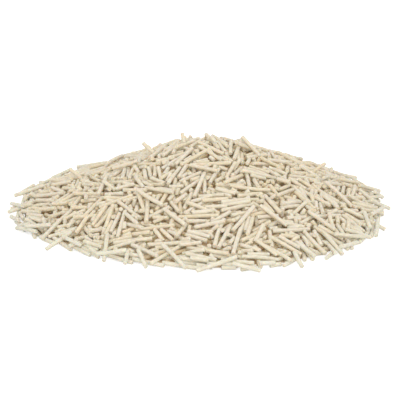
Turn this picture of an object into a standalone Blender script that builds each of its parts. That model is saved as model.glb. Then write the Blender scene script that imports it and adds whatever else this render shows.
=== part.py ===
"""A poured heap of cat litter: thousands of short extruded plant-fibre pellets in a low, round pile.

The pellets that lie on top and around the foot are separate rods. The packed mass under them is one solid:
a mound with the pellets of its skin fused to it. Pellets are dropped one after another, and each comes to
rest on whatever already lies beneath its two halves, so the heap packs the way a real one does.

Units are metres. +Z is up, the origin is on the ground under the crown of the heap, and -Y is the front.
"""

import math

import bmesh
import bpy
import numpy as np
from mathutils import Matrix, Vector
from mathutils.bvhtree import BVHTree

# The pellet: a rod pushed through a round die and snapped off at random lengths.
PELLET_DIAMETER = 0.0020
PELLET_SHORTEST = 0.0050
PELLET_LONGEST = 0.0220
END_CHAMFER = 0.00028

# The heap as it lies after pouring.
HEAP_WIDTH = 0.1935
HEAP_DEPTH = 0.1985
HEAP_HEIGHT = 0.0345
CROWN_RADIUS = 0.0150

# The packed mass under the skin of pellets.
CORE_COVER = 0.0009
CORE_SETBACK = 0.0026
CORE_EDGE = 0.0008
CORE_EDGE_SLOPE = 0.7

# How deep fused pellets bite into the core and into each other, and how near and far loose ones lie.
CORE_BITE = 0.0008
PELLET_BITE = 0.00045
LOOSE_GAP = 0.0003
LOOSE_REACH = 0.0009
FLOOR_LIFT = 0.00005

# How many pellets of each sort there are.
RIM_PELLETS = 62
SKIN_PELLETS = 264
TOP_PELLETS = 22
FOOT_PELLETS = 20

# Pellets of the rim lie along it, but for one stretch at the right front, in radians, where they point out.
# Those of the skin keep their middles this far inside the outline.
OUTWARD_STRETCH = (-1.08, -0.68)
SKIN_SETBACK = 0.0075

# Waves in the heap's outline: how many go round, their share of the radius, and their turn in radians.
# The single wave sets the crown back from the middle of the foot.
OUTLINE_WAVES = ((1, 0.067, 2.86), (2, 0.012, 1.45), (3, 0.017, -2.11), (4, 0.011, 0.63), (9, 0.008, 1.1))
# Swells and hollows that the pour leaves: x, y, radius and height.
SWELLS = (
    (-0.013, 0.002, 0.012, 0.0012),
    (0.026, 0.004, 0.014, 0.0034),
    (-0.042, 0.004, 0.024, -0.0020),
    (-0.030, -0.048, 0.022, 0.0014),
    (0.048, -0.030, 0.020, -0.0010),
)

# How finely things are made.
SKIN_SIDES = 6
LOOSE_SIDES = 8
CORE_RINGS = (0.0, 0.28, 0.52, 0.74, 0.90, 0.96, 1.0)
CORE_STEPS = 28
CORE_ROUGHNESS = 0.0005
SHELF_STEP = 0.0005
STATIONS = 12
TRIES = 16
STRAY = 0.035
RIM_STRAY = 0.010
RIM_SWING = 0.4
TOP_REACH = 0.9
FOOT_REACH = 0.975
SEED = 7

PELLET_RADIUS = PELLET_DIAMETER / 2
STEEPEST = math.tan(math.radians(50))


def outline(turn):
    """The heap's radius in a direction, as a share of an even ellipse's."""
    return 1 + sum(share * np.sin(waves * turn + phase) for waves, share, phase in OUTLINE_WAVES)


def share_out(x, y):
    """How far out a point lies: 0 in the middle of the heap and 1 on its outline."""
    across = x / (HEAP_WIDTH / 2)
    along = y / (HEAP_DEPTH / 2)
    return np.hypot(across, along) / outline(np.arctan2(along, across))


def point_at(share, turn):
    """The point that lies this share of the way out in a direction."""
    reach = share * outline(turn)
    return HEAP_WIDTH / 2 * reach * np.cos(turn), HEAP_DEPTH / 2 * reach * np.sin(turn)


def heap_surface(x, y):
    """Height of the heap: even slopes that round over at the crown and end one pellet thick at the foot."""
    mean_radius = (HEAP_WIDTH + HEAP_DEPTH) / 4
    out = share_out(x, y) * mean_radius
    fall = (np.hypot(out, CROWN_RADIUS) - CROWN_RADIUS) / (math.hypot(mean_radius, CROWN_RADIUS) - CROWN_RADIUS)
    height = PELLET_DIAMETER + (HEAP_HEIGHT - PELLET_DIAMETER) * (1 - fall)
    for swell_x, swell_y, radius, rise in SWELLS:
        height = height + rise * np.exp(-((x - swell_x) ** 2 + (y - swell_y) ** 2) / radius**2)
    return height


def share_inside(setback):
    """The share of the way out that lies this far inside the heap's outline."""
    return 1 - setback / (min(HEAP_WIDTH, HEAP_DEPTH) / 2)


def heights_of(mesh, ticks):
    """How high a mesh stands over each place of a square grid; 0 where there is none of it."""
    tree = BVHTree.FromPolygons([vertex.co for vertex in mesh.vertices], [face.vertices for face in mesh.polygons])
    heights = np.zeros((len(ticks), len(ticks)))
    for row, y in enumerate(ticks):
        for column, x in enumerate(ticks):
            hit = tree.ray_cast(Vector((x, y, 1)), Vector((0, 0, -1)))[0]
            if hit is not None:
                heights[row, column] = hit.z
    return heights


class Shelf:
    """The lowest height at which a pellet's axis can pass over each place on a fine grid."""

    def __init__(self, over_floor):
        self.edge = max(HEAP_WIDTH, HEAP_DEPTH) / 2 + PELLET_LONGEST
        self.ticks = np.arange(-self.edge, self.edge + SHELF_STEP, SHELF_STEP)
        self.heights = np.full((len(self.ticks), len(self.ticks)), over_floor)
        self.carrying = np.ones(self.heights.shape, dtype=bool)

    def rest_on(self, core, above):
        """Raises the shelf to let axes lie this far above the core's top, and takes pellets over the core only."""
        heights = heights_of(core, self.ticks)
        self.carrying = heights > 0
        self.heights = np.maximum(self.heights, np.where(heights > 0, heights + above, 0))

    def keep_off(self, core, clearance):
        """Raises the shelf to keep axes this far from the core, over it and beside its edge."""
        heights = heights_of(core, self.ticks)
        reach = int(clearance / SHELF_STEP)
        for rows in range(-reach, reach + 1):
            for columns in range(-reach, reach + 1):
                square = clearance**2 - (rows**2 + columns**2) * SHELF_STEP**2
                if square >= 0:
                    beside = np.roll(heights, (rows, columns), axis=(0, 1))
                    over = np.where(beside > 0, beside + math.sqrt(square), 0)
                    self.heights = np.maximum(self.heights, over)

    def at(self, x, y):
        """The row and column of the grid at each place."""
        last = len(self.ticks) - 1
        column = np.clip(np.rint((x + self.edge) / SHELF_STEP).astype(int), 0, last)
        row = np.clip(np.rint((y + self.edge) / SHELF_STEP).astype(int), 0, last)
        return row, column

    def lay(self, start, end, clearance):
        """Raises the shelf over a pellet, so that axes stay this far from its own."""
        low = np.minimum(start, end)[:2] - clearance
        high = np.maximum(start, end)[:2] + clearance
        first = np.clip(((low + self.edge) / SHELF_STEP).astype(int), 0, len(self.ticks))
        last = np.clip(((high + self.edge) / SHELF_STEP).astype(int) + 2, 0, len(self.ticks))
        x = self.ticks[first[0] : last[0]][None, :] - start[0]
        y = self.ticks[first[1] : last[1]][:, None] - start[1]
        length = np.linalg.norm(end - start)
        way = (end - start) / length
        along = x * way[0] + y * way[1]
        flatness = 1 - way[2] ** 2
        square = (along * way[2]) ** 2 - flatness * (x**2 + y**2 - along**2 - clearance**2)
        rise = (along * way[2] + np.sqrt(np.maximum(square, 0))) / flatness
        foot = along + rise * way[2]
        over = np.where((square >= 0) & (foot >= 0) & (foot <= length), start[2] + rise, 0)
        for tip in (start, end):
            ball = clearance**2 - (x + start[0] - tip[0]) ** 2 - (y + start[1] - tip[1]) ** 2
            over = np.maximum(over, np.where(ball >= 0, tip[2] + np.sqrt(np.maximum(ball, 0)), 0))
        window = self.heights[first[1] : last[1], first[0] : last[0]]
        np.maximum(window, over, out=window)

    def settle(self, x, y, turn, reach):
        """Height and slope at which pellets come to rest: on the support that carries each half of them."""
        stations = np.arange(-STATIONS, STATIONS + 1) / STATIONS
        place = stations[None, :] * reach[:, None]
        along = self.at(
            x[:, None] + place * np.cos(turn)[:, None],
            y[:, None] + place * np.sin(turn)[:, None],
        )
        under = self.heights[along]
        back_arm = -place[:, :STATIONS, None]
        front_arm = place[:, None, STATIONS + 1 :]
        lifted = under[:, :STATIONS, None] * front_arm + under[:, None, STATIONS + 1 :] * back_arm
        carried = (lifted / (back_arm + front_arm)).reshape(len(x), -1).argmax(axis=1)
        every = np.arange(len(x))
        back = carried // STATIONS
        front = carried % STATIONS + STATIONS + 1
        slope = (under[every, front] - under[every, back]) / (place[every, front] - place[every, back])
        height = (under - slope[:, None] * place).max(axis=1)
        return height, slope


def drawn_length(rng):
    """A pellet's length: most are middling to long, and few are as short as they come."""
    return PELLET_SHORTEST + (PELLET_LONGEST - PELLET_SHORTEST) * rng.beta(2.3, 2.0)


def lowest_of(shelf, x, y, turn, length):
    """Of several ways to drop a pellet, the one that sinks deepest below the heap's surface."""
    height, slope = shelf.settle(x, y, turn, np.full(len(x), length / 2))
    barred = (abs(slope) > STEEPEST) | ~shelf.carrying[shelf.at(x, y)]
    depth = height - PELLET_RADIUS - heap_surface(x, y) + np.where(barred, 1, 0)
    best = depth.argmin()
    return x[best], y[best], turn[best], height[best], slope[best], depth[best]


def rolled(shelf, rng, drop, length):
    """The pellet after it has rolled and swung a little into the nearest groove."""
    for _ in range(3):
        aside = rng.normal(0, 0.4 * PELLET_DIAMETER, 6)
        turn = drop[2] + rng.normal(0, 0.12, 6)
        x = drop[0] - np.sin(drop[2]) * aside
        y = drop[1] + np.cos(drop[2]) * aside
        other = lowest_of(shelf, x, y, turn, length)
        if other[5] < drop[5]:
            drop = other
    return drop


def ends_of(drop, length):
    """The two ends of a dropped pellet's axis."""
    x, y, turn, height, slope, _ = drop
    middle = np.array([x, y, height])
    half = np.array([math.cos(turn), math.sin(turn), slope]) * length / 2
    return middle - half, middle + half


def spiral(count, reach):
    """Evenly spread spots over the heap, each a share of the way out and a direction."""
    golden_turn = math.pi * (3 - math.sqrt(5))
    return [(reach * math.sqrt((number + 0.5) / count), number * golden_turn) for number in range(count)]


def ring(count, share):
    """Evenly spread spots around the heap at one share of the way out."""
    return [(share, (number + 0.5) / count * 2 * math.pi) for number in range(count)]


def rim_way(rng, turn):
    """Which way a pellet of the rim points: more or less along the rim, or outwards at the right front."""
    first, last = OUTWARD_STRETCH
    outwards = first < math.remainder(turn, 2 * math.pi) < last
    return turn + (0 if outwards else math.pi / 2) + rng.normal(0, RIM_SWING)


def pour_skin(rng, core):
    """The pellets of the heap's skin, each sunk a little into the core and into those beneath it."""
    shelf = Shelf(PELLET_RADIUS + FLOOR_LIFT)
    shelf.rest_on(core, PELLET_RADIUS - CORE_BITE)
    pellets = []

    def pour(share, turn, way, length, stray, furthest):
        shares = np.minimum(share + rng.normal(0, stray, TRIES), furthest)
        x, y = point_at(shares, turn + rng.normal(0, STRAY / max(share, STRAY), TRIES))
        drop = lowest_of(shelf, x, y, way + rng.normal(0, 0.2, TRIES), length)
        start, end = ends_of(rolled(shelf, rng, drop, length), length)
        shelf.lay(start, end, PELLET_DIAMETER - PELLET_BITE)
        pellets.append((start, end))

    furthest = share_inside(CORE_SETBACK + PELLET_RADIUS / 2)
    for share, turn in ring(RIM_PELLETS, furthest):
        length = drawn_length(rng)
        way = rim_way(rng, turn)
        tip = share_inside(abs(math.cos(way - turn)) * length / 2)
        pour(min(share, tip), turn, way, length, RIM_STRAY, furthest)
    for share, turn in spiral(SKIN_PELLETS, share_inside(SKIN_SETBACK)):
        way = turn + rng.uniform(-math.pi / 2, math.pi / 2)
        pour(share, turn, way, drawn_length(rng), STRAY, share_inside(SKIN_SETBACK))
    return pellets


def nearest_axis(start, end, pellets, trim):
    """The least distance between a pellet's axis and the others', each cut this much shorter at both ends."""
    way = (end - start) / np.linalg.norm(end - start)
    points = start + trim * way + np.linspace(0, 1, 41)[:, None] * (end - start - 2 * trim * way)
    starts = np.array([other[0] for other in pellets])
    lines = np.array([other[1] for other in pellets]) - starts
    lengths = np.linalg.norm(lines, axis=1)
    offset = points[:, None, :] - starts[None, :, :]
    share = np.clip((offset * lines).sum(axis=2) / lengths**2, trim / lengths, 1 - trim / lengths)
    return np.linalg.norm(offset - share[..., None] * lines, axis=2).min()


def drop_loose(rng, shelf, skin, laid, spots):
    """Drops one loose pellet near each spot, clear of every other and closest against the skin's."""
    clear = PELLET_DIAMETER + LOOSE_GAP
    loose = {}
    for number, (share, turn) in enumerate(spots, 1):
        length = drawn_length(rng)
        best = (PELLET_DIAMETER + LOOSE_REACH, None, None)
        for _ in range(5 * TRIES):
            shares = share + rng.normal(0, STRAY, 4)
            x, y = point_at(shares, turn + rng.normal(0, STRAY / max(share, STRAY), 4))
            start, end = ends_of(lowest_of(shelf, x, y, rng.random(4) * math.pi, length), length)
            apart = nearest_axis(start, end, skin, PELLET_RADIUS)
            if apart < best[0] and nearest_axis(start, end, laid, 0) >= clear:
                best = (apart, start, end)
        if best[1] is not None:
            shelf.lay(best[1], best[2], clear + SHELF_STEP / 4)
            laid.append(best[1:])
            loose[number] = best[1:]
    return loose


def pour_loose(rng, core, skin):
    """The separate pellets: some scattered over the heap and some on the ground around its foot."""
    margin = LOOSE_GAP + SHELF_STEP / 4
    shelf = Shelf(PELLET_RADIUS)
    shelf.keep_off(core, PELLET_RADIUS + margin)
    laid = list(skin)
    for start, end in skin:
        shelf.lay(start, end, PELLET_DIAMETER + margin)
    on_top = drop_loose(rng, shelf, skin, laid, spiral(TOP_PELLETS, TOP_REACH))
    at_foot = drop_loose(rng, shelf, skin, laid, ring(FOOT_PELLETS, FOOT_REACH))
    return on_top, at_foot


def fibre(name, tone):
    """Pressed plant fibre: pale cream, dry and dull."""
    material = bpy.data.materials.new(name)
    material.use_nodes = True
    shader = material.node_tree.nodes["Principled BSDF"]
    shader.inputs["Base Color"].default_value = (0.76 * tone, 0.68 * tone, 0.53 * tone, 1)
    shader.inputs["Roughness"].default_value = 0.8
    shader.inputs["Metallic"].default_value = 0
    return material


def facing(start, end):
    """The turn that stands a rod's own Z along the line between two points."""
    return Vector(end - start).to_track_quat("Z", "Y")


def add_rod(shape, length, sides, matrix):
    """Adds one pellet, a flat-ended rod along its own Z, to a mesh that is being made."""
    bmesh.ops.create_cone(
        shape,
        cap_ends=True,
        segments=sides,
        radius1=PELLET_RADIUS,
        radius2=PELLET_RADIUS,
        depth=length,
        matrix=matrix,
    )


def link(name, mesh, collection, parent=None):
    obj = bpy.data.objects.new(name, mesh)
    collection.objects.link(obj)
    obj.parent = parent
    return obj


def evaluated_mesh(obj):
    bpy.context.view_layer.update()
    graph = bpy.context.evaluated_depsgraph_get()
    return bpy.data.meshes.new_from_object(obj.evaluated_get(graph))


def make_core(rng, helpers):
    """The core: a turned disc, draped just under the heap's surface, with a flat underside on the ground."""
    profile = bpy.data.meshes.new("core_profile")
    points = [(share, 0, 1) for share in CORE_RINGS] + [(1, 0, 0), (0, 0, 0)]
    profile.from_pydata(points, [(number, number + 1) for number in range(len(points) - 1)], [])
    disc = link("core_disc", profile, helpers)
    screw = disc.modifiers.new("turn", "SCREW")
    screw.steps = screw.render_steps = CORE_STEPS
    screw.use_merge_vertices = True
    screw.merge_threshold = 0.0001
    mesh = evaluated_mesh(disc)
    bpy.data.objects.remove(disc)
    radius = (HEAP_WIDTH + HEAP_DEPTH) / 4
    for vertex in mesh.vertices:
        share = math.hypot(vertex.co.x, vertex.co.y)
        x, y = point_at(share * share_inside(CORE_SETBACK), math.atan2(vertex.co.y, vertex.co.x))
        height = 0
        if vertex.co.z > 0:
            under_skin = heap_surface(x, y) - CORE_COVER + rng.uniform(-CORE_ROUGHNESS, CORE_ROUGHNESS)
            height = min(under_skin, CORE_EDGE + (1 - share) * radius * CORE_EDGE_SLOPE)
        vertex.co = (x, y, height)
    return mesh


def keep_outer_shell(mesh):
    """Drops the walls of pockets that the pellets have sealed, so that the mass has one skin and no cavity."""
    shape = bmesh.new()
    shape.from_mesh(mesh)
    top = max(shape.verts, key=lambda vertex: vertex.co.z)
    reached = {top}
    front = [top]
    while front:
        for edge in front.pop().link_edges:
            for vertex in edge.verts:
                if vertex not in reached:
                    reached.add(vertex)
                    front.append(vertex)
    inner = [vertex for vertex in shape.verts if vertex not in reached]
    bmesh.ops.delete(shape, geom=inner, context="VERTS")
    shape.to_mesh(mesh)
    shape.free()


def make_packed_heap(rng, core, skin, parts, helpers, parent):
    """The packed mass: the core joined with every pellet of its skin."""
    shape = bmesh.new()
    for start, end in skin:
        place = Matrix.Translation(Vector((start + end) / 2)) @ facing(start, end).to_matrix().to_4x4()
        roll = Matrix.Rotation(rng.random() * 2 * math.pi, 4, "Z")
        add_rod(shape, float(np.linalg.norm(end - start)), SKIN_SIDES, place @ roll)
    rods = bpy.data.meshes.new("skin_pellets")
    shape.to_mesh(rods)
    shape.free()
    joined = link("skin_pellets", rods, helpers)
    joined.hide_render = True
    joined.display_type = "WIRE"

    heap = link("packed_heap", core, parts, parent)
    union = heap.modifiers.new("join_pellets", "BOOLEAN")
    union.operation = "UNION"
    union.solver = "EXACT"
    union.use_self = True
    union.object = joined
    mesh = evaluated_mesh(heap)
    heap.modifiers.clear()
    heap.data = mesh
    keep_outer_shell(mesh)
    mesh.materials.clear()
    mesh.materials.append(fibre("packed_fibre", 0.96))


def make_loose_pellet(name, start, end, tone, parts, parent):
    """One separate pellet, its snapped ends worn to a small chamfer."""
    shape = bmesh.new()
    add_rod(shape, float(np.linalg.norm(end - start)), LOOSE_SIDES, Matrix())
    mesh = bpy.data.meshes.new(name)
    shape.to_mesh(mesh)
    shape.free()
    pellet = link(name, mesh, parts, parent)
    pellet.rotation_mode = "QUATERNION"
    pellet.rotation_quaternion = facing(start, end)
    pellet.location = Vector((start + end) / 2)
    chamfer = pellet.modifiers.new("worn_ends", "BEVEL")
    chamfer.width = min(END_CHAMFER, PELLET_RADIUS / 2)
    chamfer.limit_method = "ANGLE"
    chamfer.angle_limit = math.radians(60)
    mesh.shade_smooth()
    mesh.set_sharp_from_angle(angle=math.radians(50))
    mesh.materials.append(fibre(name + "_fibre", tone))


def main():
    for obj in list(bpy.data.objects):
        bpy.data.objects.remove(obj)
    parts = bpy.data.collections.new("cat_litter_heap")
    helpers = bpy.data.collections.new("helpers")
    bpy.context.scene.collection.children.link(parts)
    bpy.context.scene.collection.children.link(helpers)
    ground = link("heap_on_ground", None, parts)

    rng = np.random.default_rng(SEED)
    core = make_core(rng, helpers)
    skin = pour_skin(rng, core)
    on_top, at_foot = pour_loose(rng, core, skin)
    make_packed_heap(rng, core, skin, parts, helpers, ground)
    for kind, pellets in (("top_pellet", on_top), ("foot_pellet", at_foot)):
        for number, (start, end) in pellets.items():
            make_loose_pellet(f"{kind}_{number:02d}", start, end, rng.uniform(0.93, 1.06), parts, ground)


main()
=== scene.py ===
# A poured heap of cat litter: thin extruded plant-fibre rods, snapped to random lengths.
# Metres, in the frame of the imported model: Z up, the front of the heap towards -Y.

import math
import bmesh
import bpy
import numpy as np
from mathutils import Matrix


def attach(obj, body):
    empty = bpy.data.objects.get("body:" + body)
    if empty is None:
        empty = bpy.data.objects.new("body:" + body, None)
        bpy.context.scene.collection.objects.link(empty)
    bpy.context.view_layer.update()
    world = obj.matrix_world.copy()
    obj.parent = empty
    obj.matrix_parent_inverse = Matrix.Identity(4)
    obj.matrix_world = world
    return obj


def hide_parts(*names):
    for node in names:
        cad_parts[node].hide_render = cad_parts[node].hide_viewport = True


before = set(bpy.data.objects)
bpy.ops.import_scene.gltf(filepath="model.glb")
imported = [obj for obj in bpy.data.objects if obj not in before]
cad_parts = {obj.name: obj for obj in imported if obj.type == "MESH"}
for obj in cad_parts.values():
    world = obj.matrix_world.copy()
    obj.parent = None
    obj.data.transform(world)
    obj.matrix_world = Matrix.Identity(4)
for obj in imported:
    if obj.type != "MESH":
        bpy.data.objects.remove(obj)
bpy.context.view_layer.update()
random = np.random.default_rng(11)
material = {}


# The form of the heap

heapForm = {
    "width": 0.1935,
    "depth": 0.1985,
    "height": 0.0345,
    "crown": 0.0150,                    # how wide the top rounds over
    "waves": (                          # of the foot: how many round it, share of the radius, start
        (1, 0.067, 2.86),
        (2, 0.012, 1.45),
        (3, 0.017, -2.11),
        (4, 0.011, 0.63),
        (9, 0.008, 1.1),
    ),
    "swells": (                         # x, y, radius, height
        (-0.013, 0.002, 0.012, 0.0012),
        (0.026, 0.004, 0.014, 0.0034),
        (-0.042, 0.004, 0.024, -0.0020),
        (-0.030, -0.048, 0.022, 0.0014),
        (0.048, -0.030, 0.020, -0.0010),
    ),
}
rodDiameter = 0.0020
rodRadius = rodDiameter / 2


def outline(turn):
    return 1 + sum(share * np.sin(count * turn + start) for count, share, start in heapForm["waves"])


def shareOut(x, y):
    across = x / (heapForm["width"] / 2)
    along = y / (heapForm["depth"] / 2)
    return np.hypot(across, along) / outline(np.arctan2(along, across))


def pointAt(share, turn):
    reach = share * outline(turn)
    return heapForm["width"] / 2 * reach * np.cos(turn), heapForm["depth"] / 2 * reach * np.sin(turn)


def surface(x, y):
    crown = heapForm["crown"]
    meanRadius = (heapForm["width"] + heapForm["depth"]) / 4
    out = shareOut(x, y) * meanRadius
    fall = (np.hypot(out, crown) - crown) / (math.hypot(meanRadius, crown) - crown)
    height = rodDiameter + (heapForm["height"] - rodDiameter) * (1 - fall)
    for swellX, swellY, radius, rise in heapForm["swells"]:
        height = height + rise * np.exp(-((x - swellX) ** 2 + (y - swellY) ** 2) / radius**2)
    return height


# Dropping the rods: the shelf is the lowest height at which a new rod's axis can pass over each place

pour = {
    "cell": 0.0005,                     # how fine the shelf is
    "edge": 0.125,                      # how far it reaches each way
    "overFloor": 0.00005,               # the lowest rods lie this far over the floor
    "bite": 0.00025,                    # how much two crossing rods may press into each other
    "layers": 0.0056,                   # how deep the loose rods go before the hidden core
    "reach": 0.97,                      # how far out rods are dropped, as a share of the foot's reach
    "supports": 8,                      # places along each half of a rod where something may hold it
    "checks": 13,                       # places along a rod where its distance to others is measured
    "tries": 40,                        # how many ways to drop a rod are compared
    "second": 6,                        # how many of them may stand in for the deepest
    "misses": (500, 200),               # rods refused until it is full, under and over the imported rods
    "full": -0.0004,                    # a place is full when rods come to rest this far over the surface
    "steepest": 0.9,                    # no rod lies on a steeper slope
    "shortest": 0.0045,
    "longest": 0.0225,
    "lengths": (2.3, 2.0),              # how they are spread between the two: most are middling to long
}
hole = {
    "depth": 0.0022,                    # how far under the surface a place has to lie to be one
    "cover": 0.0006,                    # how far the rods in it stay under the surface
    "reach": 0.92,
}
shortRods = {
    "count": 1200,
    "lookAgain": 30,                    # the holes are found anew after so many
    "length": (0.0035, 0.0080),
    "full": -0.0014,
}
standingRods = {
    "count": 12000,                     # how many places in holes are looked at
    "lift": 0.00005,
    "steepness": (0.2, 1.54, 36),       # from, to, how many are tried
    "under": 0.001,                     # the tips end up to this far under the others
    "shortest": 0.0040,
}
rimRods = {
    "count": 300,
    "tries": 3,
    "share": (0.945, 0.018),            # how far out their middles lie, and the spread
    "stray": 0.4,                       # how far they turn away from lying along the rim
    "shorter": 0.9,
    "outwards": (-1.08, -0.68),         # the stretch, at the right front, where they point out
}
leaningRods = {
    "wedged": 0.0012,                   # how far they are stuck into the heap
    "places": (                         # x, y, turn, rise, length
        (-0.0085, -0.002, 1.9, 0.8, 0.006),
        (0.0075, -0.001, 2.2, 0.5, 0.006),
        (0.0270, -0.003, 2.7, 0.75, 0.014),
        (-0.0270, -0.002, 2.6, 0.6, 0.008),
        (-0.0660, 0.004, 2.6, 0.5, 0.009),
        (0.0640, 0.010, 0.5, 0.45, 0.010),
    ),
}
strewnRods = {
    "nudge": 0.0012,                    # how far one may shift to come to rest
    "full": rodDiameter * 4,
    "places": (                         # single rods round the foot: x, y, turn, length
        (-0.0417, -0.0900, 0.02, 0.0146),
        (-0.0617, -0.0755, -0.86, 0.0144),
        (-0.0805, -0.0546, -0.37, 0.0148),
        (-0.0946, -0.0315, -1.16, 0.0150),
        (-0.0951, -0.0161, -0.99, 0.0142),
        (-0.0920, 0.0085, 0.25, 0.0170),
        (-0.0857, 0.0405, 0.22, 0.0090),
        (0.0724, -0.0755, 0.84, 0.0146),
        (0.0844, -0.0440, -1.48, 0.0150),
        (0.0914, -0.0299, 1.00, 0.0140),
        (0.0961, 0.0027, 1.04, 0.0130),
    ),
}
ticks = np.arange(-pour["edge"], pour["edge"], pour["cell"])
gridX, gridY = np.meshgrid(ticks, ticks)
steps = np.arange(-pour["supports"], pour["supports"] + 1) / pour["supports"]
clearance = rodDiameter - pour["bite"]


def cellOf(place):
    return np.clip(np.rint((place + pour["edge"]) / pour["cell"]).astype(int), 0, len(ticks) - 1)


def shelfAt(shelf, x, y):
    return shelf[cellOf(y), cellOf(x)]


def settle(shelf, x, y, turn, reach):
    # a rod rests on one support under each half; the pair that holds it highest is the real one
    half = pour["supports"]
    place = steps[None, :] * reach[:, None]
    alongX = x[:, None] + place * np.cos(turn)[:, None]
    alongY = y[:, None] + place * np.sin(turn)[:, None]
    under = shelfAt(shelf, alongX, alongY)
    backArm = -place[:, :half, None]
    frontArm = place[:, None, half + 1:]
    lifted = (under[:, :half, None] * frontArm + under[:, None, half + 1:] * backArm) / (backArm + frontArm)
    carried = lifted.reshape(len(x), -1).argmax(axis=1)
    every = np.arange(len(x))
    back, front = carried // half, carried % half + half + 1
    slope = (under[every, front] - under[every, back]) / (place[every, front] - place[every, back])
    return (under - slope[:, None] * place).max(axis=1), slope


def layOn(shelf, start, end):
    # the shelf rises to the surface of a capsule drawn round the rod that has come to rest
    low = np.minimum(start, end)[:2] - clearance
    high = np.maximum(start, end)[:2] + clearance
    first = np.clip(((low + pour["edge"]) / pour["cell"]).astype(int), 0, len(ticks))
    last = np.clip(((high + pour["edge"]) / pour["cell"]).astype(int) + 2, 0, len(ticks))
    x = ticks[first[0]:last[0]][None, :] - start[0]
    y = ticks[first[1]:last[1]][:, None] - start[1]
    length = np.linalg.norm(end - start)
    way = (end - start) / length
    along = x * way[0] + y * way[1]
    flatness = 1 - way[2] ** 2
    square = (along * way[2]) ** 2 - flatness * (x**2 + y**2 - along**2 - clearance**2)
    rise = (along * way[2] + np.sqrt(np.maximum(square, 0))) / flatness
    foot = along + rise * way[2]
    over = np.where((square >= 0) & (foot >= 0) & (foot <= length), start[2] + rise, 0)
    for tip in (start, end):
        ball = clearance**2 - (x + start[0] - tip[0]) ** 2 - (y + start[1] - tip[1]) ** 2
        over = np.maximum(over, np.where(ball >= 0, tip[2] + np.sqrt(np.maximum(ball, 0)), 0))
    window = shelf[first[1]:last[1], first[0]:last[0]]
    np.maximum(window, over, out=window)


def clearOf(start, end, starts, ends):
    # whether a new rod keeps its distance from others, measured from points along its axis
    points = start + np.linspace(0, 1, pour["checks"])[:, None] * (end - start)
    apart = np.linalg.norm(starts + ends - start - end, axis=1) / 2
    near = apart < (np.linalg.norm(ends - starts, axis=1) + np.linalg.norm(end - start)) / 2 + clearance
    if not near.any():
        return True
    starts, ends = starts[near], ends[near]
    lines = ends - starts
    offset = points[:, None, :] - starts[None]
    share = np.clip((offset * lines).sum(axis=2) / (lines**2).sum(axis=1), 0, 1)
    return np.linalg.norm(offset - share[..., None] * lines, axis=2).min() > clearance


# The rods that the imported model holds

readOff = {
    "merge": 1e-7,
    "shortestEdge": 0.0002,
    "cornerSpread": 0.02,               # how far a corner's cosine may be from a six-sided rod's
    "sameLine": 0.00012,                # edges whose axes lie this near belong to one rod
}


def looseRods():
    # those with a node of their own: the two ends, read off the meshes
    names, starts, ends = [], [], []
    for name in sorted(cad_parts):
        if name == "packed_heap":
            continue
        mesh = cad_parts[name].data
        points = np.array([vertex.co for vertex in mesh.vertices])
        middle = (points.min(axis=0) + points.max(axis=0)) / 2
        way = np.linalg.svd(points - points.mean(axis=0), full_matrices=False)[2][0]
        along = (points - middle) @ way
        names.append(name)
        starts.append(middle + way * along.min())
        ends.append(middle + way * along.max())
    return names, np.array(starts), np.array(ends)


def axisPieces():
    # every side edge of a six-sided rod tells where its axis is
    heap = bmesh.new()
    heap.from_mesh(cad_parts["packed_heap"].data)
    bmesh.ops.remove_doubles(heap, verts=heap.verts, dist=readOff["merge"])
    heap.normal_update()
    found = []
    for edge in heap.edges:
        if len(edge.link_faces) != 2 or not edge.is_convex or edge.calc_length() < readOff["shortestEdge"]:
            continue
        first, second = (face.normal for face in edge.link_faces)
        if abs(first.dot(second) - math.cos(math.pi / 3)) < readOff["cornerSpread"]:
            inward = (first + second).normalized() * rodRadius
            found.append([tuple(corner.co - inward) for corner in edge.verts])
    heap.free()
    return np.array(sorted(found, key=lambda pair: -math.dist(*pair)))


def fusedRods():
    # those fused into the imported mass: the pieces that lie on one line are one rod
    found = axisPieces()
    starts, ends = [], []
    while len(found):
        way = (found[0, 1] - found[0, 0]) / np.linalg.norm(found[0, 1] - found[0, 0])
        offset = found - found[0, 0]
        along = offset @ way
        aside = np.linalg.norm(offset - along[..., None] * way, axis=2).max(axis=1)
        same = aside < readOff["sameLine"]
        if same.sum() > 1:
            starts.append(found[0, 0] + way * along[same].min())
            ends.append(found[0, 0] + way * along[same].max())
        found = found[~same]
    return np.array(starts), np.array(ends)


# The rods poured round them

def dropRod(shelf, length, x, y, turn, fixed, full=pour["full"]):
    # of a few ways to drop a rod, the one that sinks deepest under the surface of the heap
    height, slope = settle(shelf, x, y, turn, np.full(len(x), length / 2))
    over = height - rodRadius - surface(x, y) + np.where(abs(slope) > pour["steepest"], 1, 0)
    for best in over.argsort()[:pour["second"]]:
        half = np.array([math.cos(turn[best]), math.sin(turn[best]), slope[best]])
        half *= length / 2 / np.linalg.norm(half)
        middle = np.array([x[best], y[best], height[best]])
        if over[best] > full:
            return []
        if clearOf(middle - half, middle + half, *fixed):
            layOn(shelf, middle - half, middle + half)
            return [(middle - half, middle + half)]
    return []


def rodLength():
    return pour["shortest"] + (pour["longest"] - pour["shortest"]) * random.beta(*pour["lengths"])


def dropMany(shelf, misses, fixed):
    rods = []
    tries = pour["tries"]
    while misses > 0:
        x, y = pointAt(pour["reach"] * np.sqrt(random.random(tries)), random.random(tries) * 2 * math.pi)
        rod = dropRod(shelf, rodLength(), x, y, random.random(tries) * math.pi, fixed)
        rods += rod
        misses -= not rod
    return rods


def holesIn(shelf):
    top = surface(gridX, gridY) + rodRadius - hole["cover"]
    return top, np.argwhere((top - shelf > hole["depth"]) & (shareOut(gridX, gridY) < hole["reach"]))


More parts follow.
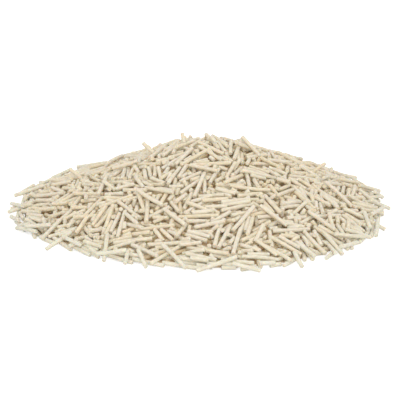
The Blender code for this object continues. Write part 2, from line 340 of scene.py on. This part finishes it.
def dropShort(shelf, fixed):
    rods = []
    for number in range(shortRods["count"]):
        if number % shortRods["lookAgain"] == 0:
            holes = holesIn(shelf)[1]
        row, column = holes[random.integers(len(holes), size=pour["tries"])].T
        length = random.uniform(*shortRods["length"])
        turn = random.random(len(row)) * math.pi
        rods += dropRod(shelf, length, ticks[column], ticks[row], turn, fixed, shortRods["full"])
    return rods


def standIn(shelf, rods):
    # short rods that stand in the holes left between the others; each leans as far as the hole lets it
    added = []
    top, holes = holesIn(shelf)
    starts, ends = np.array([rod[0] for rod in rods]), np.array([rod[1] for rod in rods])
    for row, column in random.permutation(holes)[:standingRods["count"]]:
        place = np.array([ticks[column], ticks[row], shelf[row, column] + standingRods["lift"]])
        deep = top[row, column] - place[2]
        if deep < hole["depth"]:
            continue
        for steepness in np.linspace(*standingRods["steepness"]):
            turn = random.random() * 2 * math.pi
            length = deep / math.sin(steepness) - random.uniform(0, standingRods["under"])
            length = max(length, standingRods["shortest"])
            flat = math.cos(steepness)
            way = [math.cos(turn) * flat, math.sin(turn) * flat, math.sin(steepness)]
            tip = place + length * np.array(way)
            if tip[2] < surface(tip[0], tip[1]) + rodRadius and clearOf(place, tip, starts, ends):
                layOn(shelf, place, tip)
                added.append((place, tip))
                starts, ends = np.vstack([starts, place]), np.vstack([ends, tip])
                break
    return added


def layRim(shelf, fixed):
    rods = []
    low, high = rimRods["outwards"]
    for number in range(rimRods["count"]):
        around = (number + random.random(rimRods["tries"])) / rimRods["count"] * 2 * math.pi - math.pi
        x, y = pointAt(random.normal(*rimRods["share"], rimRods["tries"]), around)
        length = rodLength() * rimRods["shorter"]
        pointsOut = (around > low) & (around < high)
        stray = random.normal(0, rimRods["stray"], rimRods["tries"])
        turn = around + np.where(pointsOut, 0, math.pi / 2) + stray
        rods += dropRod(shelf, length, x, y, turn, fixed)
    return rods


def layLeaning(shelf):
    rods = []
    for x, y, turn, rise, length in leaningRods["places"]:
        place = np.linspace(-0.5, 0.5, len(steps)) * length * math.cos(rise)
        under = shelfAt(shelf, x + place * math.cos(turn), y + place * math.sin(turn))
        middle = np.array([x, y, (under - place * math.tan(rise)).max() - leaningRods["wedged"]])
        half = np.array([math.cos(turn) * math.cos(rise), math.sin(turn) * math.cos(rise), math.sin(rise)])
        rods.append((middle - half * length / 2, middle + half * length / 2))
    return rods


def layStrewn(shelf, fixed):
    rods = []
    shift = np.linspace(-strewnRods["nudge"], strewnRods["nudge"], 9)
    for x, y, turn, length in strewnRods["places"]:
        still = 0 * shift
        rods += dropRod(shelf, length, x + still, y + shift, turn + still, fixed, strewnRods["full"])
    return rods


def pourRods(fixed):
    inside = shareOut(gridX, gridY) <= pour["reach"]
    core = np.where(inside, np.maximum(surface(gridX, gridY) - pour["layers"], 0), 0)
    shelf = np.maximum(core, rodRadius + pour["overFloor"])
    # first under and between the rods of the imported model, then over them too
    rods = dropMany(shelf, pour["misses"][0], fixed)
    print("rods in the heap:", len(rods))
    for start, end in zip(*fixed):
        layOn(shelf, start, end)
    rods += dropMany(shelf, pour["misses"][1], fixed)
    print("with those that cover it:", len(rods))
    rods += dropShort(shelf, fixed)
    print("with the short ones in its holes:", len(rods))
    rods += standIn(shelf, list(zip(*fixed)) + rods)
    print("with those that stand in holes:", len(rods))
    rods += layRim(shelf, fixed)
    print("with those of the rim:", len(rods))
    rods += layLeaning(shelf) + layStrewn(shelf, fixed)
    print("with those that lean or lie strewn round its foot:", len(rods))
    return np.array([rod[0] for rod in rods]), np.array([rod[1] for rod in rods])


# The shape of one rod

rodShape = {
    "sides": 10,
    "rings": 8,
    "wornEnd": 0.00024,                 # how far back the broken end is rounded
    "wornSpread": (0.7, 1.4),
    "straightFrom": 2.4,                # the even stretch begins so many worn ends in
    "endWidth": (0.78, 0.92),
    "shoulderWidth": (0.93, 0.99),
    "slant": 0.00035,                   # how crooked the break is
    "ragged": 0.00005,                  # how rough it is
    "bend": 0.030,                      # most sideways bow, as a share of the length
    "swelling": 0.02,
    "fullness": 1.05,                   # the rods swell a little when they leave the die
    "thickness": 0.035,                 # spread of diameters
    "thinnest": -0.08,
    "thickest": 0.05,
    "shade": 0.0035,                    # painted shade: how deep under the surface the rods are at their tannest
    "overFloor": 0.00003,               # a bowed rod at the foot is lifted this far over the floor
}


def ringsAlong(length):
    # where the rings of points sit along each rod, and how wide they are
    count = len(length)
    worn = rodShape["wornEnd"] * random.uniform(*rodShape["wornSpread"], (count, 2))
    inner = np.linspace(0, 1, rodShape["rings"] - 4)[None, :]
    begin = rodShape["straightFrom"]
    body = begin * worn[:, :1] + inner * (length - begin * worn.sum(axis=1))[:, None]
    along = np.concatenate([
        np.zeros((count, 1)), worn[:, :1], body, length[:, None] - worn[:, 1:], length[:, None]], axis=1)
    width = 1 + random.normal(0, rodShape["swelling"], (count, rodShape["rings"]))
    width[:, [0, -1]] = random.uniform(*rodShape["endWidth"], (count, 2))
    width[:, [1, -2]] = random.uniform(*rodShape["shoulderWidth"], (count, 2))
    spread = random.normal(0, rodShape["thickness"], (count, 1))
    width *= 1 + np.clip(spread, rodShape["thinnest"], rodShape["thickest"])
    return along, width


def breaksOf(angle):
    # how far each point of the two end rings lies before or behind a square cut
    count, sides = angle.shape
    slant = np.zeros((count, rodShape["rings"], sides))
    for ring, sign in ((0, 1), (rodShape["rings"] - 1, -1)):
        tilt = random.uniform(0, rodShape["slant"], (count, 1))
        towards = random.random((count, 1)) * 2 * math.pi
        slant[:, ring] = sign * tilt * (1 + np.cos(angle - towards)) / 2
    slant[:, [0, -1]] += random.normal(0, rodShape["ragged"], (count, 2, sides))
    return slant


def rodPoints(starts, ends):
    count = len(starts)
    length = np.linalg.norm(ends - starts, axis=1)
    way = (ends - starts) / length[:, None]
    helper = np.where(abs(way[:, 2:]) > 0.9, np.array([[1.0, 0, 0]]), np.array([[0, 0, 1.0]]))
    sideA = np.cross(way, helper)
    sideA /= np.linalg.norm(sideA, axis=1)[:, None]
    sideB = np.cross(way, sideA)
    along, width = ringsAlong(length)
    sides = rodShape["sides"]
    angle = np.arange(sides) / sides * 2 * math.pi + random.random((count, 1)) * 2 * math.pi
    slant = breaksOf(angle)
    most = rodShape["bend"]
    bow = random.normal(0, most / 2, (count, 1)).clip(-most, most) * length[:, None]
    share = along / length[:, None]
    bow = bow * (4 * share * (1 - share) - 2 / 3)
    bowWay = random.random((count, 1)) * 2 * math.pi
    radial = np.cos(angle)[:, None, :, None] * sideA[:, None, None, :]
    radial = radial + np.sin(angle)[:, None, :, None] * sideB[:, None, None, :]
    bent = (np.cos(bowWay) * sideA + np.sin(bowWay) * sideB)[:, None, :] * bow[..., None]
    axis = starts[:, None, :] + way[:, None, :] * along[..., None] + bent
    shell = axis[:, :, None, :] + radial * (rodRadius * rodShape["fullness"] * width)[:, :, None, None]
    shell = shell + way[:, None, None, :] * slant[..., None]
    caps = shell[:, [0, -1]].mean(axis=2)
    points = np.concatenate([shell.reshape(count, -1, 3), caps], axis=1)
    points[..., 2] += np.maximum(rodShape["overFloor"] - points[..., 2].min(axis=1), 0)[:, None]
    return points, along


def rodFaces(count):
    # of all the rods: the quads of their sides, then the triangles of their ends
    sides, rings = rodShape["sides"], rodShape["rings"]
    quads, fans = [], []
    for ring in range(rings - 1):
        for side in range(sides):
            after = (side + 1) % sides
            here, beyond = ring * sides, (ring + 1) * sides
            quads.append((here + side, here + after, beyond + after, beyond + side))
    last = (rings - 1) * sides
    for side in range(sides):
        after = (side + 1) % sides
        fans.append((rings * sides, after, side))
        fans.append((rings * sides + 1, last + side, last + after))
    shift = np.arange(count)[:, None, None] * (rings * sides + 2)
    return (np.array(quads)[None] + shift).reshape(-1, 4), (np.array(fans)[None] + shift).reshape(-1, 3)


def rodMesh(name, starts, ends):
    points, along = rodPoints(starts, ends)
    quads, fans = rodFaces(len(starts))
    mesh = bpy.data.meshes.new(name)
    mesh.from_pydata(points.reshape(-1, 3), [], quads.tolist() + fans.tolist())
    smooth = np.zeros(len(mesh.polygons), dtype=bool)
    smooth[:len(quads)] = True
    mesh.polygons.foreach_set("use_smooth", smooth)
    addRodMaps(mesh, along)
    addTonesAndPaintedLight(mesh, (starts + ends) / 2)
    return mesh


# The maps of the rods: a tile of the sheet for each, and a run in millimetres along and round it

sheet = {
    "border": 0.06,                     # down to the end's radius in shares of a tile
    "sidesWide": 0.64,
    "sidesHigh": 0.88,
    "endsAcross": 0.85,
    "endsUp": (0.25, 0.75),
    "endRadius": 0.09,
    "around": 6,                        # millimetres round a rod
    "perMetre": 1000,
    "endScale": 4,
    "apart": (7, 50),                   # so that no two rods have the same streaks
}


def sideTiles(along, tileX, tileY, tiles):
    sides, rings = rodShape["sides"], rodShape["rings"]
    corners = [[side, side + 1, side + 1, side] for _ in range(rings - 1) for side in range(sides)]
    rounds = np.array(corners) / sides
    ringOf = np.array([[ring, ring, ring + 1, ring + 1] for ring in range(rings - 1) for _ in range(sides)])
    lengthwise = along[:, ringOf]
    share = lengthwise / along[:, -1][:, None, None]
    across = (tileX + sheet["border"] + sheet["sidesWide"] * rounds[None]) / tiles
    up = (tileY + sheet["border"] + sheet["sidesHigh"] * share) / tiles
    return rounds, lengthwise, across, up


def endTiles(tileX, tileY, tiles):
    turn = np.arange(rodShape["sides"] + 1) / rodShape["sides"] * 2 * math.pi
    middle, radius = sheet["endsAcross"], sheet["endRadius"]
    across, up = [], []
    for side in range(rodShape["sides"]):
        for height, pair in zip(sheet["endsUp"], ((side + 1, side), (side, side + 1))):
            across.append((middle, *(middle + radius * math.cos(turn[corner]) for corner in pair)))
            up.append((height, *(height + radius * math.sin(turn[corner]) for corner in pair)))
    return (tileX + np.array(across)[None]) / tiles, (tileY + np.array(up)[None]) / tiles


def addMap(mesh, name, across, up):
    both = np.stack([np.concatenate([part.ravel() for part in side]) for side in (across, up)], axis=1)
    mesh.uv_layers.new(name=name, do_init=False).uv.foreach_set("vector", both.astype(np.float32).ravel())


def addRodMaps(mesh, along):
    count = len(along)
    tiles = math.ceil(math.sqrt(count))
    tileX = (np.arange(count) % tiles)[:, None, None]
    tileY = (np.arange(count) // tiles)[:, None, None]
    rounds, lengthwise, sideX, sideY = sideTiles(along, tileX, tileY, tiles)
    endX, endY = endTiles(tileX, tileY, tiles)
    addMap(mesh, "OFBake", (sideX, endX), (sideY, endY))
    offset = random.random((count, 1, 1)) * sheet["apart"][1]
    runX = rounds[None] * sheet["around"] + offset * sheet["apart"][0]
    runY = lengthwise * sheet["perMetre"] + offset
    endRunX, endRunY = (place * tiles * sheet["endScale"] for place in (endX, endY))
    addMap(mesh, "alongRod", (runX, endRunX), (runY, endRunY))


def addTonesAndPaintedLight(mesh, middles):
    # red is how pale a rod is, darkened by painted shade the deeper it lies under the surface; green how
    # much it has the painted greyer look of the foot
    # painted shade: rods lying deeper under the surface get a darker, browner tone, for the shade between
    # the rods
    under = surface(middles[:, 0], middles[:, 1]) - middles[:, 2] - rodRadius
    deep = np.clip(under / rodShape["shade"], 0, 1)
    paintedFootGrey = (shareOut(middles[:, 0], middles[:, 1]) - fibreLook["paintedFootGreyFrom"]) / (1 - fibreLook["paintedFootGreyFrom"])
    pale = (0.2 + 0.8 * random.random(len(middles))) * (1 - deep)
    perRod = np.column_stack([pale, np.clip(paintedFootGrey, 0, 1), np.zeros(len(middles)), np.ones(len(middles))])
    perPoint = np.repeat(perRod, len(mesh.vertices) // len(middles), axis=0)
    tone = mesh.attributes.new("rodToneAndPaintedLight", "FLOAT_COLOR", "POINT")
    tone.data.foreach_set("color", perPoint.astype(np.float32).ravel())


# Finishes

fibreLook = {
    "pale": (0.86, 0.795, 0.665),
    "middle": (0.865, 0.79, 0.635),
    # tan is also where the painted shade begins; deep is painted shade, the browner colour of rods lying
    # deep in the heap
    "tan": (0.86, 0.77, 0.595),
    "deep": (0.95, 0.79, 0.53),
    "paintedFootGrey": (0.84, 0.815, 0.695),      # painted light: the rods round the foot are greyer, for the shade at their ends and the bright backdrop round them
    "paintedFootGreyFrom": 0.86,                  # how far out they start to be, as a share of the foot's reach
    "mottle": (420, 3),                 # waves a metre, detail
    "mottled": (0.84, 0.82, 0.78),
    "mottleShare": 0.8,
    "streak": (1.6, 4),                 # waves a millimetre, detail
    "streakStretch": (1.4, 0.35, 1),
    "streaked": (0.90, 0.87, 0.82),
    "streakShare": 0.7,
    "fleck": (1500, 2),
    "flecked": (0.42, 0.31, 0.17),
    "fleckShare": 0.35,
    "grain": (3200, 3),
    "streakHeight": 1.3,                # against the grain's
    "bump": (0.5, 0.00007),             # strength, height
    "roughness": 0.72,
    "shine": 0.35,
    "glow": 0.5,
    "glowDepth": 0.0012,                # how far light gets into the fibre
    "glowColour": (1.0, 0.74, 0.48),
}
# painted shade: the hidden core is darker and browner than the rods, for the shade deep between them
coreLook = {
    "dark": (0.80, 0.60, 0.38),
    "light": (0.90, 0.74, 0.50),
    "noise": (500, 2),
    "roughness": 0.9,
}
black = (0, 0, 0)
white = (1, 1, 1)


def newMaterial(name):
    made = bpy.data.materials.new(name)
    made.use_nodes = True
    return made, made.node_tree.nodes, made.node_tree.links, made.node_tree.nodes["Principled BSDF"]


def ramp(nodes, links, source, stops):
    made = nodes.new("ShaderNodeValToRGB")
    while len(made.color_ramp.elements) < len(stops):
        made.color_ramp.elements.new(0.5)
    for element, (place, colour) in zip(made.color_ramp.elements, stops):
        element.position = place
        element.color = (*colour, 1)
    links.new(source, made.inputs["Fac"])
    return made.outputs["Color"]


def noise(nodes, links, vector, scaleAndDetail):
    made = nodes.new("ShaderNodeTexNoise")
    made.inputs["Scale"].default_value, made.inputs["Detail"].default_value = scaleAndDetail
    links.new(vector, made.inputs["Vector"])
    return made.outputs["Fac"]


def maths(nodes, links, operation, *values):
    made = nodes.new("ShaderNodeMath")
    made.operation = operation
    for socket, value in zip(made.inputs, values):
        if isinstance(value, bpy.types.NodeSocket):
            links.new(value, socket)
        else:
            socket.default_value = value
    return made.outputs[0]


def blendColour(nodes, links, mode, amount, first, second):
    made = nodes.new("ShaderNodeMix")
    made.data_type = "RGBA"
    made.blend_type = mode
    for socket, value in ((made.inputs[0], amount), (made.inputs[6], first), (made.inputs[7], second)):
        if isinstance(value, bpy.types.NodeSocket):
            links.new(value, socket)
        else:
            socket.default_value = value
    return made.outputs[2]


def makePressedFibre():
    made, nodes, links, shader = newMaterial("pressedFibre")
    tone = nodes.new("ShaderNodeAttribute")
    tone.attribute_name = "rodToneAndPaintedLight"
    parts = nodes.new("ShaderNodeSeparateColor")
    links.new(tone.outputs["Color"], parts.inputs["Color"])
    # the ramp runs from painted shade (deep, tan) to the rods' own random tones (tan, middle, pale)
    stops = zip((0.0, 0.2, 0.4, 0.7), (fibreLook[name] for name in ("deep", "tan", "middle", "pale")))
    colour = ramp(nodes, links, parts.outputs["Red"], list(stops))
    # painted light: rods round the foot are mixed towards a grey
    colour = blendColour(nodes, links, "MIX", parts.outputs["Green"], colour, (*fibreLook["paintedFootGrey"], 1))

    place = nodes.new("ShaderNodeTexCoord").outputs["Object"]
    mottle = noise(nodes, links, place, fibreLook["mottle"])
    mottled = ramp(nodes, links, mottle, ((0.3, fibreLook["mottled"]), (0.7, white)))
    colour = blendColour(nodes, links, "MULTIPLY", fibreLook["mottleShare"], colour, mottled)

    run = nodes.new("ShaderNodeUVMap")
    run.uv_map = "alongRod"
    stretched = nodes.new("ShaderNodeMapping")
    stretched.inputs["Scale"].default_value = fibreLook["streakStretch"]
    links.new(run.outputs["UV"], stretched.inputs["Vector"])
    streak = noise(nodes, links, stretched.outputs["Vector"], fibreLook["streak"])
    streaked = ramp(nodes, links, streak, ((0.36, fibreLook["streaked"]), (0.62, white)))
    colour = blendColour(nodes, links, "MULTIPLY", fibreLook["streakShare"], colour, streaked)

    fleck = noise(nodes, links, place, fibreLook["fleck"])
    fleck = ramp(nodes, links, fleck, ((0.66, black), (0.74, white)))
    faint = maths(nodes, links, "MULTIPLY", fleck, fibreLook["fleckShare"])
    colour = blendColour(nodes, links, "MIX", faint, colour, (*fibreLook["flecked"], 1))
    links.new(colour, shader.inputs["Base Color"])

    grain = noise(nodes, links, place, fibreLook["grain"])
    bump = nodes.new("ShaderNodeBump")
    bump.inputs["Strength"].default_value, bump.inputs["Distance"].default_value = fibreLook["bump"]
    height = maths(nodes, links, "MULTIPLY_ADD", streak, fibreLook["streakHeight"], grain)
    links.new(height, bump.inputs["Height"])
    links.new(bump.outputs["Normal"], shader.inputs["Normal"])
    shader.inputs["Roughness"].default_value = fibreLook["roughness"]
    shader.inputs["Specular IOR Level"].default_value = fibreLook["shine"]
    shader.inputs["Subsurface Weight"].default_value = fibreLook["glow"]
    shader.inputs["Subsurface Radius"].default_value = fibreLook["glowColour"]
    shader.inputs["Subsurface Scale"].default_value = fibreLook["glowDepth"]
    return made


def makeCoreFibre():
    made, nodes, links, shader = newMaterial("shadedFibre")
    place = nodes.new("ShaderNodeTexCoord").outputs["Object"]
    stops = ((0.3, coreLook["dark"]), (0.7, coreLook["light"]))
    shade = ramp(nodes, links, noise(nodes, links, place, coreLook["noise"]), stops)
    links.new(shade, shader.inputs["Base Color"])
    shader.inputs["Roughness"].default_value = coreLook["roughness"]
    return made


# The heap

coreForm = {
    "rings": 26,
    "turns": 72,
    "reach": 0.93,
    "lowest": 0.0006,
    "overFloor": 0.0001,
}


def addPiece(mesh, finish, *stoodFor):
    piece = bpy.data.objects.new(mesh.name, mesh)
    bpy.context.scene.collection.objects.link(piece)
    mesh.materials.append(finish)
    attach(piece, "root")
    if stoodFor:
        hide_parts(*stoodFor)


def corePoint(share, turn):
    x, y = pointAt(share, turn)
    return x, y, max(float(surface(x, y)) - pour["layers"], coreForm["lowest"])


def coreMesh():
    # the hidden middle of the heap, under the loose rods; its darker, browner finish is painted shade
    rings, turns = coreForm["rings"], coreForm["turns"]
    around = [turn / turns * 2 * math.pi for turn in range(turns)]
    points = [corePoint(0.0, 0.0)]
    for ring in range(1, rings + 1):
        points += [corePoint(coreForm["reach"] * ring / rings, turn) for turn in around]
    foot = len(points)
    points += [(*pointAt(coreForm["reach"], turn), coreForm["overFloor"]) for turn in around]
    points.append((0, 0, coreForm["overFloor"]))
    faces = [(0, 1 + turn, 1 + (turn + 1) % turns) for turn in range(turns)]
    for ring in range(rings - 1):
        for turn in range(turns):
            after = (turn + 1) % turns
            inner, outer = 1 + ring * turns, 1 + (ring + 1) * turns
            faces.append((inner + turn, outer + turn, outer + after, inner + after))
    rim = 1 + (rings - 1) * turns
    for turn in range(turns):
        after = (turn + 1) % turns
        faces.append((rim + turn, foot + turn, foot + after, rim + after))
        faces.append((foot + turn, len(points) - 1, foot + after))
    mesh = bpy.data.meshes.new("heapCore")
    mesh.from_pydata(points, [], faces)
    mesh.shade_smooth()
    return mesh


material["fibre"] = makePressedFibre()
material["shaded"] = makeCoreFibre()
names, looseStarts, looseEnds = looseRods()
fusedStarts, fusedEnds = fusedRods()
print("rods in the packed model:", len(fusedStarts), "fused,", len(names), "loose")
fixed = (np.concatenate([looseStarts, fusedStarts]), np.concatenate([looseEnds, fusedEnds]))
starts, ends = pourRods(fixed)
starts, ends = np.concatenate([fusedStarts, starts]), np.concatenate([fusedEnds, ends])
print("rods poured:", len(starts))

frontToBack = np.array_split(np.argsort((starts + ends)[:, 1]), 3)
for number, batch in enumerate(frontToBack):
    mesh = rodMesh(f"pouredRods{number + 1}", starts[batch], ends[batch])
    if number == 0:
        addPiece(mesh, material["fibre"], "packed_heap")
    else:
        addPiece(mesh, material["fibre"])
for name, start, end in zip(names, looseStarts, looseEnds):
    addPiece(rodMesh("rod_" + name, start[None], end[None]), material["fibre"], name)
addPiece(coreMesh(), material["shaded"])
print("rods shaped")


# Floor, light and camera

studio = {
    "floorSize": 8,
    "floorColour": (0.82, 0.82, 0.82, 1),
    "floorGlow": 0.62,
    "world": 0.83,
    "key": (1.3, (-0.35, -0.45, 1.05), 0.8),      # watts, place, size
    "fill": (3.1, (0.15, -1.0, 0.45), 0.5),
}
shot = {
    "distance": 0.75,
    "elevation": 17.4,
    "lens": 126.3,
    "sensor": 36,
    "aim": (0.0003, 0, 0.0028),
}


def seenDirectly(nodes, links):
    # 1 where the camera sees the surface, also by way of a reflection or through glass
    path = nodes.new("ShaderNodeLightPath")
    seen = path.outputs["Is Camera Ray"]
    for kind in ("Is Glossy Ray", "Is Transmission Ray"):
        seen = maths(nodes, links, "MAXIMUM", seen, path.outputs[kind])
    return seen


def mixShaders(nodes, links, first, second):
    made = nodes.new("ShaderNodeMixShader")
    links.new(seenDirectly(nodes, links), made.inputs[0])
    links.new(first, made.inputs[1])
    links.new(second, made.inputs[2])
    return made.outputs[0]


def shining(nodes, kind, strength):
    made = nodes.new(kind)
    made.inputs["Color"].default_value = (*white, 1)
    made.inputs["Strength"].default_value = strength
    return made.outputs[0]


def makeFloor():
    size = studio["floorSize"] / 2
    mesh = bpy.data.meshes.new("floor")
    corners = [(-size, -size, 0), (size, -size, 0), (size, size, 0), (-size, size, 0)]
    mesh.from_pydata(corners, [], [(0, 1, 2, 3)])
    floor = bpy.data.objects.new("floor", mesh)
    bpy.context.scene.collection.objects.link(floor)
    made, nodes, links, shader = newMaterial("paleFloor")
    shader.inputs["Base Color"].default_value = studio["floorColour"]
    shader.inputs["Roughness"].default_value = 1
    shader.inputs["Specular IOR Level"].default_value = 0
    dark = shining(nodes, "ShaderNodeEmission", 0)
    glow = shining(nodes, "ShaderNodeEmission", studio["floorGlow"])
    both = nodes.new("ShaderNodeAddShader")
    links.new(shader.outputs[0], both.inputs[0])
    links.new(mixShaders(nodes, links, dark, glow), both.inputs[1])
    links.new(both.outputs[0], nodes["Material Output"].inputs["Surface"])
    mesh.materials.append(made)


def makeWorld():
    world = bpy.data.worlds.new("studioWorld")
    world.use_nodes = True
    bpy.context.scene.world = world
    nodes, links = world.node_tree.nodes, world.node_tree.links
    soft = nodes["Background"]
    soft.inputs["Color"].default_value = (*white, 1)
    soft.inputs["Strength"].default_value = studio["world"]
    plain = shining(nodes, "ShaderNodeBackground", 1)
    links.new(mixShaders(nodes, links, soft.outputs[0], plain), nodes["World Output"].inputs["Surface"])


def makeLamp(name, power, place, size):
    lamp = bpy.data.lights.new(name, "AREA")
    lamp.energy = power
    lamp.shape = "DISK"
    lamp.size = size
    holder = bpy.data.objects.new(name, lamp)
    bpy.context.scene.collection.objects.link(holder)
    holder.location = place
    away = -np.array(place)
    tilt = math.acos(-away[2] / np.linalg.norm(away))
    holder.rotation_euler = (tilt, 0, math.atan2(away[1], away[0]) - math.pi / 2)


def makeCamera():
    rise = math.radians(shot["elevation"])
    back, up = shot["distance"] * math.cos(rise), shot["distance"] * math.sin(rise)
    camera = bpy.data.cameras.new("camera")
    camera.lens = shot["lens"]
    camera.sensor_width = shot["sensor"]
    holder = bpy.data.objects.new("camera", camera)
    bpy.context.scene.collection.objects.link(holder)
    x, y, z = shot["aim"]
    holder.location = (x, y - back, z + up)
    holder.rotation_euler = (math.pi / 2 - rise, 0, 0)
    bpy.context.scene.camera = holder


makeFloor()
makeWorld()
makeLamp("keyLamp", *studio["key"])
makeLamp("fillLamp", *studio["fill"])
makeCamera()
bpy.context.scene.view_settings.view_transform = "Standard"
print("studio set")
